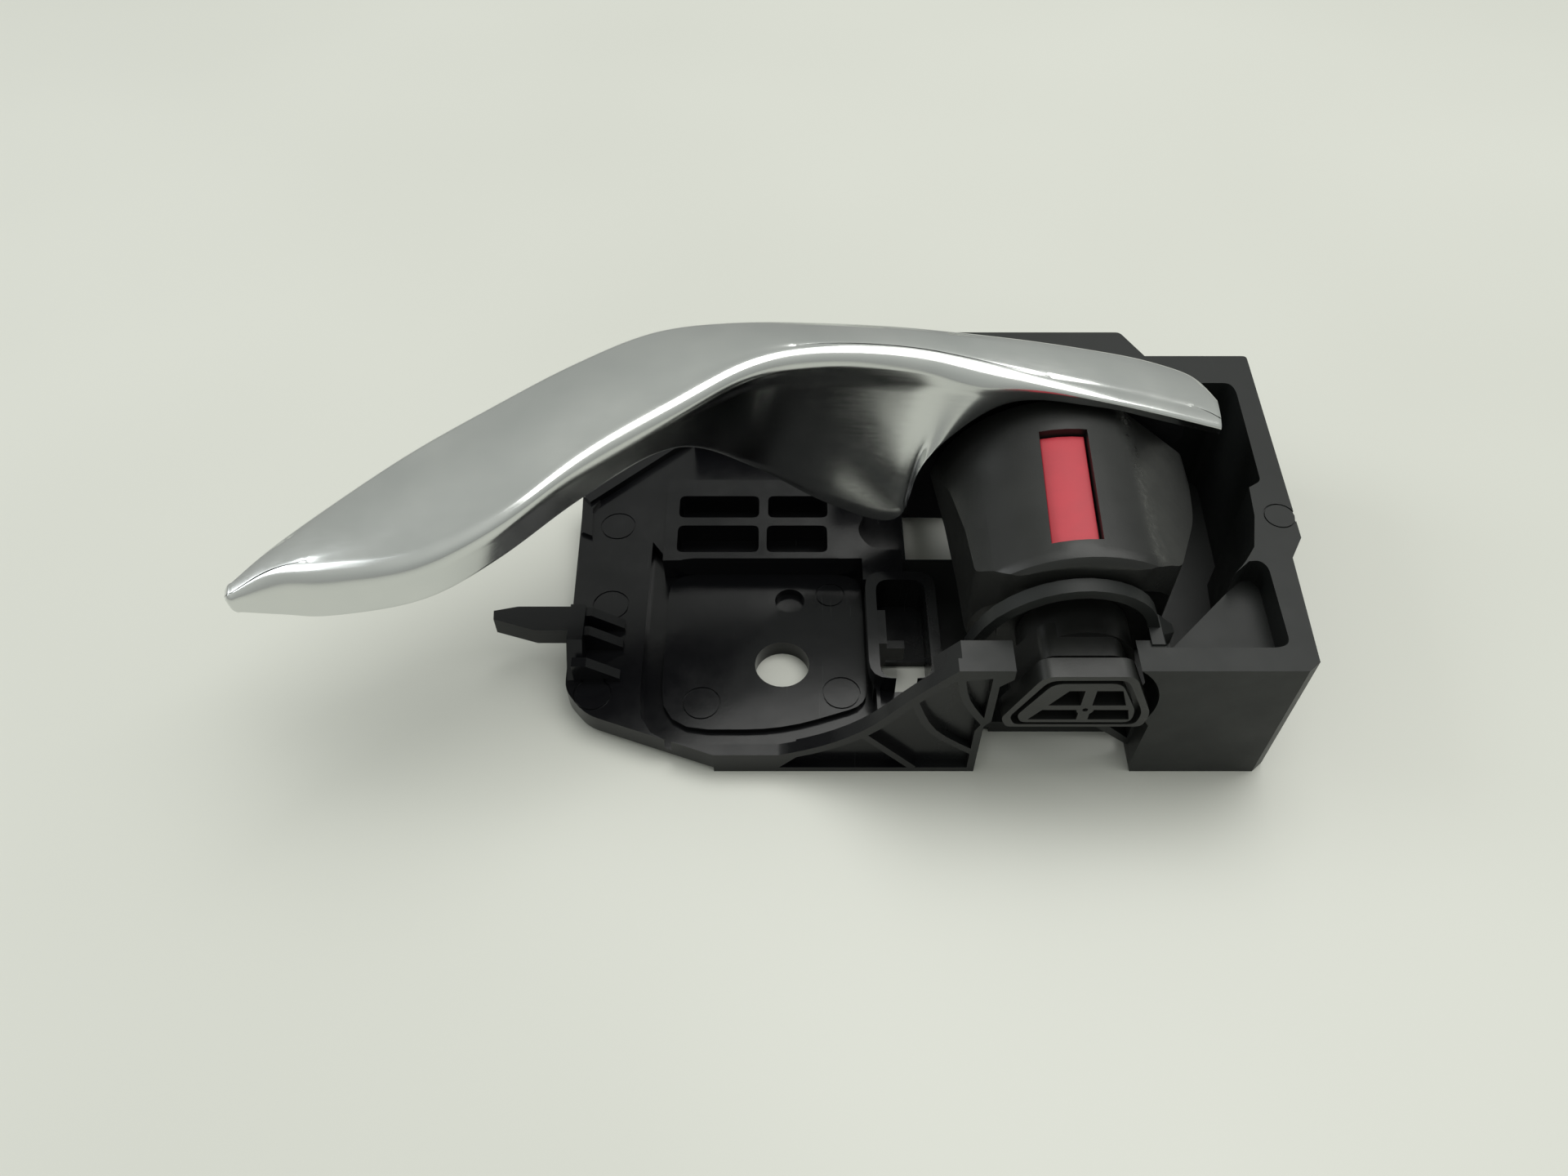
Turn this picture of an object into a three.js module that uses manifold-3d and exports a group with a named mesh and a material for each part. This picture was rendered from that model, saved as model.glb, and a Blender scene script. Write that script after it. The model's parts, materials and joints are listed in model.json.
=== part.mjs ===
// Inner door release handle: a moulded housing that carries a chromed pull lever and a barrel-shaped
// lock knob on one steel pivot pin. Millimetres, +Z up. The model is drawn with X = 0 on the pivot axis,
// Y = 0 on the housing's front face and Z = 0 under the housing, and is centred on its footprint at the end.
import * as THREE from "three";
import { mergeVertices } from "three/addons/utils/BufferGeometryUtils.js";
import Module from "manifold-3d";

const wasm = await Module();
wasm.setup();

// ---------------------------------------------------------------- driving dimensions

const gap = 0.3; // between pieces that touch or nearly touch
const runGap = 0.6; // between pieces that move past each other
const arcSteps = 4; // segments in a rounded corner
const ringSteps = 40; // segments in a full circle
const through = 1; // how far a cutter passes the face it cuts

const housing = {
  leftX: -82, // left edge of the base plate
  rightX: 37.7, // right edge of the block
  backY: 74.8, // back edge
  topZ: 28.2, // top of the block
  plateTop: 5,
  plateUnder: 1.2,
  floorTop: 3,
  wall: 2.2,
  plateRightX: -11, // right edge of the plate in front of the cable window
  frontWallY: 5.5, // back of the front wall
};

const pivot = { x: 0, z: 19.6, pinR: 2, backY: housing.backY - 0.4 };

const pocket = { left: -65, right: -31, front: 5.8, back: 38.2, floor: 3.4, r: 4.5 };
const rampWall = 2.3; // width of the sloping rim along the front
const groove = { floor: 2.4, left: -68.4, front: 2, back: 44.6, r: 9 }; // channel round the pocket's floor
const screwHole = { x: -45, y: 18.7, r: 4.6 };
const dimple = { x: -43.7, y: 32.3, r: 2.6 };
const ribBlock = { left: -66, right: -24, front: pocket.back, back: 57.2, top: 8 };
const tower = {
  left: -30.8,
  right: -18.8,
  front: 12,
  back: 34.4,
  top: 9,
  wall: 1.8,
  r: 3.5,
  floorFront: 19.6, // front edge of the slot's floor
};
const clipSeat = { r: 6, near: 72.2 }; // counterbore behind the back wall for the pin's clip
const restShelf = { near: 55, far: 62, left: -22.5, right: -13.6, top: 7 };
const stopPost = { left: 16.6, right: 23.6, near: 46, far: 51.4, top: 10, pad: 2.8 };
const cableWindow = { left: -23, right: 3, front: 40.4, back: 58 };
const mark = { r: 3.2, small: 2.6, depth: 0.25 }; // shallow round marks that the ejector pins leave

const knob = {
  near: 10.6,
  far: 43.8,
  radius: 20.7,
  wall: 2.2,
  leftZ: 4.6, // height of the left lip above the pivot axis
  facetTopX: 9,
  facetLowX: 21.4,
  facetLowZ: 8.2,
  skirtZ: -5, // bottom of the right side below the pivot axis
  rimR: 2.6, // rounding of the near end
  recess: 3.6, // depth of the hollow in the near end, round the neck
  coreR: 6.5,
  hubR: 11.5,
  collarR: 8.6,
};
const indicator = { width: 6.8, near: 14.9, far: 36.9, centreX: -1.5, lean: 1, sunk: 1.3, thick: 1.2 };

const lever = {
  wall: 1.9,
  hubR: 9.4,
  hubNear: 45.2,
  hubFar: 60,
  core: 0.35, // how far the carrier's blade stays clear of the cover, beyond the gap
  scoop: 0.09, // hollow of the deep front wall, as a share of its height
  nose: 1.5,
  corner: 4.5, // rounding of the right end's back corner
};
const foot = { left: -21.6, right: -14.4, under: -10.2, back: 60 };
const spool = { r: 5.4, near: 52.4 };
const bush = { wall: 1.2, flangeWidth: 2.5, flange: 0.7 };
const bushInner = pivot.pinR + gap;
const bushOuter = bushInner + bush.wall;
const spring = { r: 7.2, wire: 1.3, turns: 4, near: 53.8, far: 58.6 };
const screw = { headR: 2.6, headDepth: 1.9, shankR: 1.3, length: 3.4 };
const screwStations = [3.9, 6.1]; // rail stations of the two cover screws
const pinClip = { outerR: 4.6, thick: 0.9 };
const crank = { near: 20.6, thick: 2, eyeR: 1.3, eyeX: -2.9, reach: 12.2 };
const detent = { x: -2, foot: -10.5, thick: 0.7, near: 24, far: 32 };

// ---------------------------------------------------------------- solids

// Joins the shared vertices of a closed geometry and returns it as a solid.
function solid(geometry) {
  const bare = geometry.clone();
  bare.deleteAttribute("normal");
  bare.deleteAttribute("uv");
  const merged = mergeVertices(bare, 1e-4);
  return new wasm.Manifold(
    new wasm.Mesh({
      numProp: 3,
      vertProperties: new Float32Array(merged.attributes.position.array),
      triVerts: new Uint32Array(merged.index.array),
    }),
  );
}

function geometryOf(body) {
  const mesh = body.getMesh();
  const geometry = new THREE.BufferGeometry();
  geometry.setAttribute("position", new THREE.BufferAttribute(new Float32Array(mesh.vertProperties), 3));
  geometry.setIndex(new THREE.BufferAttribute(new Uint32Array(mesh.triVerts), 1));
  const flat = geometry.toNonIndexed();
  flat.computeVertexNormals();
  return flat;
}

const fuse = (first, ...rest) => rest.reduce((body, next) => body.add(next), first);
const cut = (first, ...rest) => rest.reduce((body, next) => body.subtract(next), first);

// A closed outline through corners [u, v, radius]; a corner with a radius is rounded.
function outline(corners) {
  const shape = new THREE.Shape();
  const at = (i) => new THREE.Vector2(...corners[(i + corners.length) % corners.length]);
  corners.forEach(([, , radius = 0], i) => {
    const here = at(i);
    const towards = (other) => {
      const room = here.distanceTo(other) * 0.49;
      return here.clone().lerp(other, Math.min(radius, room) / here.distanceTo(other));
    };
    const from = towards(at(i - 1));
    const to = towards(at(i + 1));
    if (i === 0) {
      shape.moveTo(from.x, from.y);
    } else {
      shape.lineTo(from.x, from.y);
    }
    if (radius > 0) {
      shape.quadraticCurveTo(here.x, here.y, to.x, to.y);
    }
  });
  shape.closePath();
  return shape;
}

const box2 = (left, front, right, back, r = 0) => [
  [left, front, r],
  [right, front, r],
  [right, back, r],
  [left, back, r],
];

function extruded(corners, depth) {
  const settings = { depth, bevelEnabled: false, curveSegments: arcSteps };
  return new THREE.ExtrudeGeometry(outline(corners), settings);
}

// An XY outline raised from one height to another.
function upright(corners, fromZ, toZ) {
  return solid(extruded(corners, toZ - fromZ).translate(0, 0, fromZ));
}

// An XZ outline, drawn about the pivot axis, carried from one Y to another.
function crosswise(corners, fromY, toY) {
  const geometry = extruded(corners, toY - fromY).rotateX(Math.PI / 2);
  return solid(geometry.translate(pivot.x, toY, pivot.z));
}

// A YZ outline carried from one X to another.
function lengthwise(corners, fromX, toX) {
  const turn = new THREE.Matrix4().makeBasis(
    new THREE.Vector3(0, 1, 0),
    new THREE.Vector3(0, 0, 1),
    new THREE.Vector3(1, 0, 0),
  );
  return solid(extruded(corners, toX - fromX).applyMatrix4(turn).translate(fromX, 0, 0));
}

function post(x, y, r, fromZ, toZ, steps = ringSteps / 2) {
  const geometry = new THREE.CylinderGeometry(r, r, toZ - fromZ, steps).rotateX(Math.PI / 2);
  return solid(geometry.translate(x, y, (fromZ + toZ) / 2));
}

// A round bar along the pivot axis, or along a line offset from it.
function bar(r, fromY, toY, steps = ringSteps, x = 0, z = 0) {
  const geometry = new THREE.CylinderGeometry(r, r, toY - fromY, steps);
  return solid(geometry.translate(pivot.x + x, (fromY + toY) / 2, pivot.z + z));
}

// The corners of an arc about the pivot axis, from one angle to another in degrees.
function arc(r, fromDeg, toDeg, steps) {
  return Array.from({ length: steps + 1 }, (_, i) => {
    const angle = THREE.MathUtils.degToRad(fromDeg + ((toDeg - fromDeg) * i) / steps);
    return [r * Math.cos(angle), r * Math.sin(angle)];
  });
}

// ---------------------------------------------------------------- assembly

const model = new THREE.Group();
const leverGroup = new THREE.Group();
const knobGroup = new THREE.Group();
model.add(leverGroup, knobGroup);

const looks = {
  housing: { color: 0x1b1c1e, roughness: 0.42, metalness: 0 },
  chrome: { color: 0xc9cbcc, roughness: 0.16, metalness: 1 },
  carrier: { color: 0x141416, roughness: 0.5, metalness: 0 },
  knob: { color: 0x232524, roughness: 0.62, metalness: 0 },
  indicator: { color: 0xc83c4b, roughness: 0.5, metalness: 0 },
  steel: { color: 0x9a9c9e, roughness: 0.35, metalness: 1 },
  bush: { color: 0xd8d4c4, roughness: 0.55, metalness: 0 },
  rubber: { color: 0x101010, roughness: 0.85, metalness: 0 },
};

function place(group, name, look, body) {
  const mesh = new THREE.Mesh(geometryOf(body), new THREE.MeshStandardMaterial(looks[look]));
  mesh.name = name;
  group.add(mesh);
}

// ---------------------------------------------------------------- housing

// The front rim climbs from the plate to the top of the block in one S-curve.
const topRel = housing.topZ - pivot.z;
const baseRel = -pivot.z;
const rampCurve = new THREE.SplineCurve([
  new THREE.Vector2(-56, 2.6 - pivot.z),
  new THREE.Vector2(-46, 4.9 - pivot.z),
  new THREE.Vector2(-38, 8.2 - pivot.z),
  new THREE.Vector2(-31.5, 13.3 - pivot.z),
  new THREE.Vector2(-25.5, 21.3 - pivot.z),
  new THREE.Vector2(-19.5, topRel),
]);
const rampPoints = rampCurve.getPoints(16).map((p) => [p.x, p.y]);
const rampLeft = rampPoints[0][0];
const rampEnd = rampPoints.at(-1)[0];
const frontGap = { left: -14.2, right: 11.2, topLeft: 13.4 - pivot.z, topRight: 12.2 - pivot.z };
const notch = { left: -13.2, right: 10.9, topLeft: -11.3, topRight: 6.5 };

function frontRamp() {
  const rim = [[rampLeft, baseRel], ...rampPoints, [notch.topLeft, topRel], [notch.topLeft, topRel - 2.2]];
  rim.push([notch.left, topRel - 4], [notch.left, frontGap.topLeft + 1.5]);
  rim.push([frontGap.left, frontGap.topLeft], [frontGap.left, baseRel]);
  const shoulder = [
    [rampEnd - 3, topRel - 4.2],
    [rampEnd + 0.6, topRel],
    [notch.topLeft, topRel],
    [notch.topLeft, topRel - 2.2],
    [notch.left, topRel - 4],
    [notch.left, topRel - 6],
  ];
  return fuse(crosswise(rim.reverse(), 0, rampWall), crosswise(shoulder.reverse(), 1, housing.frontWallY));
}

// Thin curved ribs stand under the ramp and split it into open cells.
function rampCells() {
  const skin = 1.2;
  const blindBack = rampWall - 0.8;
  const below = rampPoints.map(([x, z]) => [x + skin * 0.9, z - skin]);
  const floorRel = baseRel + skin;
  const inner = [
    [below[3][0], floorRel],
    ...below.slice(4, 16),
    [notch.left - skin, topRel - skin * 1.6],
    [notch.left - skin, frontGap.topLeft + skin],
    [frontGap.left - skin, frontGap.topLeft - skin],
    [frontGap.left - skin, floorRel],
  ];
  const hollow = crosswise(inner.reverse(), -through, blindBack);
  const ribs = [
    lineRib([-33, 11.4 - pivot.z], [-24, 1 - pivot.z], skin),
    arcRib([-25.4, 20.5 - pivot.z], [-21.8, 12 - pivot.z], [-14, 5 - pivot.z], skin),
    arcRib([-19.2, 27.5 - pivot.z], [-17.6, 20.4 - pivot.z], [-13.6, 13.2 - pivot.z], skin),
  ];
  return cut(hollow, ...ribs);
}

function lineRib(from, to, thick) {
  return arcRib(from, [(from[0] + to[0]) / 2, (from[1] + to[1]) / 2], to, thick);
}

// A rib of even thickness along a curve through three points, seen edge on.
function arcRib(from, middle, to, thick) {
  const line = new THREE.SplineCurve([from, middle, to].map(([x, z]) => new THREE.Vector2(x, z)));
  const points = line.getPoints(8);
  const sides = [1, -1].map((side) =>
    points.map((p, i) => {
      const along = line.getTangent(i / 8);
      return [p.x - (side * along.y * thick) / 2, p.y + (side * along.x * thick) / 2];
    }),
  );
  return crosswise([...sides[1], ...sides[0].reverse()], -2 * through, rampWall + 2 * through);
}

const plateOutline = [
  [housing.leftX, 55],
  [-80.8, 12.4, 2],
  [-76.8, 7.6, 2],
  [rampLeft, 0],
  [frontGap.left, 0],
  [frontGap.left, housing.frontWallY],
  [housing.plateRightX, housing.frontWallY],
  [housing.plateRightX, cableWindow.front],
  [cableWindow.left, cableWindow.front],
  [cableWindow.left, housing.backY - 4],
  [cableWindow.left, housing.backY],
  [-58.5, housing.backY],
];

const blockOutline = [
  [notch.topLeft + gap, 0],
  [30.8, 0],
  [32.7, 1.6],
  [33.8, 21.3],
  [36.2, 25.4],
  [housing.rightX, 68.3, 0.8],
  [19.6, 68.3],
  [16.2, housing.backY, 0.8],
  [cableWindow.left - 12, housing.backY],
  [cableWindow.left - 12, 62],
  [cableWindow.left, 62],
  [cableWindow.left, 40],
  [notch.topLeft + gap, 40],
];

// The cavity that the knob and the lever's end turn in.
const cavity = {
  back: 61.2,
  outline: [
    [-40, housing.frontWallY],
    [11.6, housing.frontWallY, 1.5],
    [26, 20, 1.5],
    [28.4, 23.5],
    [30, 30],
    [30.6, 36.2],
    [32.8, 37.6, 0.8],
    [33.8, 59.5, 1.8],
    [33, 61.2, 1],
    [-40, 61.2],
  ],
};

function wallFront() {
  // Front wall left of the block: the U-shaped notch for the knob's neck is open towards the floor gap.
  const right = arc(notch.right, 52, -24, 10);
  const opening = [
    [notch.topRight, topRel + through],
    ...right,
    [notch.right, -6],
    [notch.right - 0.4, -17.5],
    [frontGap.right, baseRel - through],
    [notch.topLeft - 6, baseRel - through],
    [notch.topLeft - 6, topRel + through],
  ];
  return crosswise(opening.reverse(), -through, housing.frontWallY + 2);
}

// The web under the neck's right side, with two triangular windows.
function neckWeb() {
  const web = crosswise(
    [
      [11.6, -17.6],
      [11.6, -7.2],
      [-0.2, -7.2],
    ],
    3.2,
    housing.frontWallY,
  );
  const upper = [
    [2.9, -8],
    [9.2, -10.2],
    [9.2, -8],
  ];
  const lower = [
    [5.4, -10.1],
    [10.1, -14.6],
    [10.1, -11.4],
  ];
  const cuts = [upper, lower].map((tri) => crosswise(tri, 2, housing.frontWallY + through));
  return cut(web, ...cuts);
}

// An arched guard stands just in front of the knob's near end, from the ramp over to the block.
function neckArch() {
  const outer = [
    [-17.7, -5],
    [-17.3, 3],
    [-14.2, 10.6],
    [-8.5, 15.6],
    [-2, 17.5],
    [4.2, 16.4],
    [8.6, 13.2],
    [10.8, 8.6],
  ];
  const thick = 1.7;
  const middle = new THREE.Vector2(-2.6, 2);
  const line = (corners) => new THREE.SplineCurve(corners.map(([x, z]) => new THREE.Vector2(x, z)));
  const rim = line(outer).getPoints(20);
  const inside = rim.map((p) => p.clone().sub(middle).setLength(p.distanceTo(middle) - thick).add(middle));
  const ring = [...rim, ...inside.reverse()].map((p) => [p.x, p.y]);
  const archFar = knob.near - runGap;
  const foot = [
    [-17.8, baseRel + 2],
    [-11.6, baseRel + 2],
    [-14.2, -7],
    [-15.9, -4.6],
    [-17.7, -4.6],
  ];
  const rightLeg = [
    [11.2, -4],
    [13.5, -4],
    [13.5, 6.4],
    [10.8, 9],
    [8.9, 9],
    [9.4, 7.4],
    [11.2, 3],
  ];
  return fuse(
    crosswise(ring.reverse(), 7.6, archFar),
    crosswise(foot, 7.6, archFar),
    crosswise(rightLeg, housing.frontWallY - 1, archFar),
  );
}

function snapTongue() {
  // A tapered tongue for the door panel, on an upright bracket with two gussets.
  const tongueTop = 10;
  const tongueUnder = 6.4;
  const tongue = upright(
    [
      [-93.4, 25],
      [-93.2, 23.2],
      [-86, 20.9],
      [-79.6, 20.9],
      [-79.6, 25.9],
      [-89.4, 25.9],
    ],
    tongueUnder,
    tongueTop,
  );
  const bracket = lengthwise(
    [
      [13.4, housing.plateTop - 1],
      [26.4, housing.plateTop - 1],
      [26.4, tongueTop],
      [19, tongueTop],
    ],
    -80.6,
    -78,
  );
  const gusset = (y) => {
    const side = [
      [-79.4, housing.plateTop - 1 - pivot.z],
      [-71.8, housing.plateTop - 1 - pivot.z],
      [-71.8, housing.plateTop + 0.9 - pivot.z],
      [-77, tongueTop - 0.6 - pivot.z],
      [-79.4, tongueTop - 0.6 - pivot.z],
    ];
    return crosswise(side, y, y + 1.8);
  };
  return fuse(tongue, bracket, gusset(14), gusset(20.4), gusset(24.4));
}

function clipTower() {
  const outer = upright(
    box2(tower.left, tower.front, tower.right, tower.back, tower.r),
    0,
    tower.top,
  );
  const skirt = upright(
    box2(tower.left, tower.front - 4, tower.left + tower.wall, tower.front + 4),
    housing.plateUnder,
    tower.top - 3,
  );
  return fuse(outer, skirt);
}

function towerSlot() {
  const inner = (front) =>
    box2(
      tower.left + tower.wall,
      front,
      tower.right - tower.wall,
      tower.back - tower.wall,
      tower.r - 1,
    );
  const open = box2(
    tower.left + tower.wall,
    tower.front,
    tower.right - tower.wall,
    tower.floorFront + through,
  );
  return fuse(
    upright(inner(tower.front), housing.plateUnder, tower.top + through),
    upright(open, -through, housing.plateUnder + gap),
  );
}

// The sprung hook that holds a cable end in the tower, and the ledge below it.
function towerHook() {
  const hook = upright(box2(tower.left + 0.4, 19.2, tower.left + 3.2, 26.2), 2, tower.top - 0.4);
  const ledge = upright(box2(tower.left + 3, 19.4, tower.left + 6.2, 21), 3.6, tower.top - 2);
  return fuse(hook, ledge);
}

function housingBody() {
  const plate = upright(plateOutline, housing.plateUnder, housing.plateTop);
  const rimRib = cut(
    upright(
      [
        [housing.leftX + 2.4, 52],
        [-78.6, 13],
        [-76.4, 9.4],
        [rampLeft + 1, 2.6],
        [frontGap.left, 2.6],
        [frontGap.left, housing.backY - 2],
        [-60, housing.backY - 2],
      ],
      0,
      housing.plateUnder + gap,
    ),
    upright(
      [
        [housing.leftX + 4.4, 51],
        [-76.8, 13.8],
        [-75, 11],
        [rampLeft + 1.6, 4.6],
        [tower.left - 1, 4.6],
        [tower.left - 1, housing.backY - 4],
        [-59, housing.backY - 4],
      ],
      -through,
      housing.plateUnder,
    ),
  );
  const floor = upright(
    [
      [frontGap.left - 2, 8],
      [33, 8],
      [33, 66],
      [cableWindow.left - 2, 66],
      [cableWindow.left - 2, cableWindow.front],
      [frontGap.left - 2, cableWindow.front],
    ],
    0,
    housing.floorTop,
  );
  const shelf = upright(
    box2(restShelf.left, restShelf.near, restShelf.right, restShelf.far),
    0,
    restShelf.top,
  );
  const stop = upright(box2(stopPost.left, stopPost.near, stopPost.right, stopPost.far), 0, stopPost.top);
  const windowCut = upright(
    box2(cableWindow.left, cableWindow.front, cableWindow.right, cableWindow.back),
    -through,
    housing.floorTop + through,
  );
  const block = upright(blockOutline, 0, housing.topZ);
  const blockCavity = upright(cavity.outline, housing.floorTop, housing.topZ + through);
  const ribs = upright(
    [
      [ribBlock.left, ribBlock.front - 0.5],
      [ribBlock.left, ribBlock.back],
      [-30, ribBlock.back],
      [-30, 48.8, 2],
      [-31.8, 44.6, 2],
      [-29.4, 40.4, 2],
      [ribBlock.right, 40.2],
      [ribBlock.right, tower.back - 1],
      [pocket.right, tower.back - 1],
      [pocket.right, pocket.back],
    ].reverse(),
    housing.plateUnder,
    ribBlock.top,
  );
  const backRail = upright(box2(-62, 68.8, cableWindow.left, housing.backY), housing.plateUnder, 14);
  const lip = upright(
    [
      [housing.leftX, 55],
      [housing.leftX + 1.6, 53],
      [-63, 69.4],
      [-60, housing.backY],
      [-62.5, housing.backY],
      [-65, 70.6],
    ],
    housing.plateTop - 1,
    housing.plateTop + 1.5,
  );
  let body = fuse(plate, rimRib, floor);
  body = fuse(body, cut(block, blockCavity));
  body = fuse(cut(body, wallFront(), windowCut), shelf, stop);
  body = fuse(body, frontRamp(), ribs, clipTower(), backRail, lip, snapTongue());
  body = fuse(body, neckWeb(), neckArch());

  // Pocket, groove and holes.
  const pocketEdge = [
    [pocket.left, pocket.front, 8],
    [-45, pocket.front, 6],
    [pocket.right, 10.6, 3],
    [pocket.right, pocket.back, pocket.r],
    [pocket.left, pocket.back, pocket.r],
  ];
  const pocketCut = upright(pocketEdge, pocket.floor, ribBlock.top + through);
  const channel = cut(
    upright(
      [
        [groove.left, groove.front, groove.r],
        [-32.6, groove.front],
        [-29.6, rampWall + 0.6],
        [-29.6, 12],
        [pocket.right + 1, 12],
        [pocket.right + 1, pocket.back],
        [pocket.left + 6, pocket.back],
        [pocket.left + 1, pocket.back],
        [groove.left, groove.back],
      ],
      groove.floor,
      housing.plateTop + through,
    ),
    upright(pocketEdge, 0, housing.plateTop + 2 * through),
    upright(box2(ribBlock.left, pocket.back, 0, groove.back + through), 0, housing.plateTop + 2 * through),
  );
  body = cut(body, pocketCut, channel, towerSlot(), rampCells());
  body = cut(body, post(screwHole.x, screwHole.y, screwHole.r, -through, housing.topZ, 28));
  body = cut(body, post(dimple.x, dimple.y, dimple.r, housing.plateUnder + 0.7, housing.topZ, 20));
  const screwBoss = cut(
    post(screwHole.x, screwHole.y, screwHole.r + 2, 0, housing.plateUnder + gap, 28),
    post(screwHole.x, screwHole.y, screwHole.r, -through, housing.topZ, 28),
  );
  body = fuse(body, screwBoss, towerHook());

  // Four slots in two rows lighten the raised block.
  const slots = [
    [-63.7, 47.8, -49.2, 53.1],
    [-47.6, 47.8, -36.8, 53.1],
    [-63.7, 39.6, -49.2, 45.9],
    [-47.8, 39.6, -37, 45.9],
  ].map(([x0, y0, x1, y1]) => upright(box2(x0, y0, x1, y1, 1.2), 3.6, ribBlock.top + through));
  body = cut(body, ...slots);

  // Triangular recess in the block's top, beside the knob's cavity.
  const corner = upright(
    [
      [26.9, 20.6],
      [28.6, 20.8, 1],
      [29.6, 19.4, 1],
      [29.2, 5, 1.2],
      [27.6, 4.2, 1],
      [11, 4.2],
      [11, 6.4],
    ].reverse(),
    housing.topZ - 5,
    housing.topZ + through,
  );
  body = cut(body, corner);

  // The block is hollow from below, with walls of even thickness.
  const coreTop = housing.topZ - housing.wall - 3.4;
  const hollows = [
    [
      [12.6, 2.2],
      [29.8, 2.2],
      [31.4, 20.5],
      [28, 17],
      [15, 5.5],
    ],
    [
      [-22, 63.6],
      [-4, 63.6],
      [-4, 72.4],
      [-22, 72.4],
    ],
    [
      [6, 63.6],
      [19, 63.6],
      [19, 66],
      [15.4, 72.4],
      [6, 72.4],
    ],
  ].map((corners) => upright(corners, -through, coreTop));
  body = cut(body, ...hollows);

  // Bores for the pivot pin through the back wall, and round marks on the open faces.
  body = cut(body, bar(pivot.pinR + gap, cavity.back - 2, housing.backY + through, 24));
  body = cut(body, bar(clipSeat.r, clipSeat.near, housing.backY + through, 28));
  const leftLip = upright(
    [
      [housing.leftX, 55],
      [housing.leftX + 0.5, 46.4],
      [housing.leftX + 2.6, 45.4],
      [housing.leftX + 2.1, 52],
      [housing.leftX + 3.2, 54.2],
    ],
    housing.plateTop - 1,
    housing.plateTop + 0.8,
  );
  body = fuse(body, leftLip);
  const marks = [
    [-75, 48.4, housing.plateTop],
    [-74.7, 30.1, housing.plateTop],
    [-76.2, 11.6, housing.plateTop],
    [-58.3, 10.9, pocket.floor],
    [-35.2, 12.9, pocket.floor],
    [-36.6, 33.6, pocket.floor, mark.small],
    [34, 30, housing.topZ, mark.small],
  ].map(([x, y, z, r = mark.r]) => {
    return cut(
      post(x, y, r, z - mark.depth, z + through, 20),
      post(x, y, r - mark.depth, z - 2 * mark.depth, z + 2 * through, 20),
    );
  });
  return cut(body, ...marks);
}

place(model, "housing", "housing", housingBody());

// ---------------------------------------------------------------- pull lever

// Four rails run from the blade's tip to the lever's right end: the foot of the back skirt, the back edge,
// the front crease and the foot of the front wall.
const rails = {
  skirt: [
    [-124.4, 11.2, 32.2],
    [-119.8, 15.8, 32.4],
    [-112, 22.3, 32.8],
    [-101, 31.2, 34],
    [-89.6, 39.1, 36],
    [-77.8, 46.7, 37.6],
    [-65.4, 52.8, 38.6],
    [-52.5, 54, 38],
    [-39.6, 53.4, 36],
    [-26.7, 53, 35],
    [-16, 52.7, 35],
    [-6, 52.8, 35],
    [4, 53, 35],
    [14, 53.2, 34.6],
    [25.2, 52.4, 33.6],
  ],
  back: [
    [-124.5, 11, 35.4],
    [-120, 15.6, 37.2],
    [-112.3, 22.1, 39.3],
    [-101.3, 31, 41.7],
    [-89.8, 38.9, 43.7],
    [-77.9, 46.5, 45.6],
    [-65.4, 52.6, 47.1],
    [-52.5, 53.8, 48],
    [-39.6, 53.2, 48.4],
    [-26.7, 52.8, 48],
    [-16, 52.5, 47],
    [-6, 52.6, 45.5],
    [4, 52.8, 43.5],
    [14, 53, 41],
    [25.3, 52.2, 37.4],
  ],
  crease: [
    [-123.6, 7.8, 35.6],
    [-117.5, 9.2, 38.2],
    [-108.8, 8.3, 40],
    [-96.5, 8.2, 42.2],
    [-84.5, 13.6, 44.8],
    [-73, 24.2, 47],
    [-60, 33.2, 49],
    [-48.5, 40.8, 50.3],
    [-37, 43.3, 50.5],
    [-25, 44, 49.2],
    [-15.5, 43, 47.4],
    [-6, 41.3, 45.4],
    [4, 40.8, 43.4],
    [14, 40.8, 40.6],
    [24.9, 41, 37.2],
  ],
  wall: [
    [-123.4, 7.8, 32],
    [-117.5, 8, 31.2],
    [-110, 7, 32.2],
    [-96.5, 8.4, 34.2],
    [-86, 14.4, 36.4],
    [-74.3, 23.6, 39.6],
    [-61, 32.6, 41],
    [-49.5, 40.6, 28],
    [-37.5, 41.2, 18.6],
    [-25.6, 37.2, 18.6],
    [-22, 38, 32.6],
    [-10, 42.4, 40.8],
    [3.6, 41.2, 41.3],
    [14, 41.2, 38.5],
    [24.9, 41.2, 35.2],
  ],
};
const stations = 56;
const noseSizes = [0.35, 0.7, 0.92];
const noseDirection = new THREE.Vector3(-0.9, -0.42, 0).normalize();
const lastStation = rails.back.length - 1;
const railCurves = Object.fromEntries(
  Object.entries(rails).map(([name, points]) => [
    name,
    new THREE.CatmullRomCurve3(points.map((p) => new THREE.Vector3(...p)), false, "catmullrom", 0.5),
  ]),
);

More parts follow.
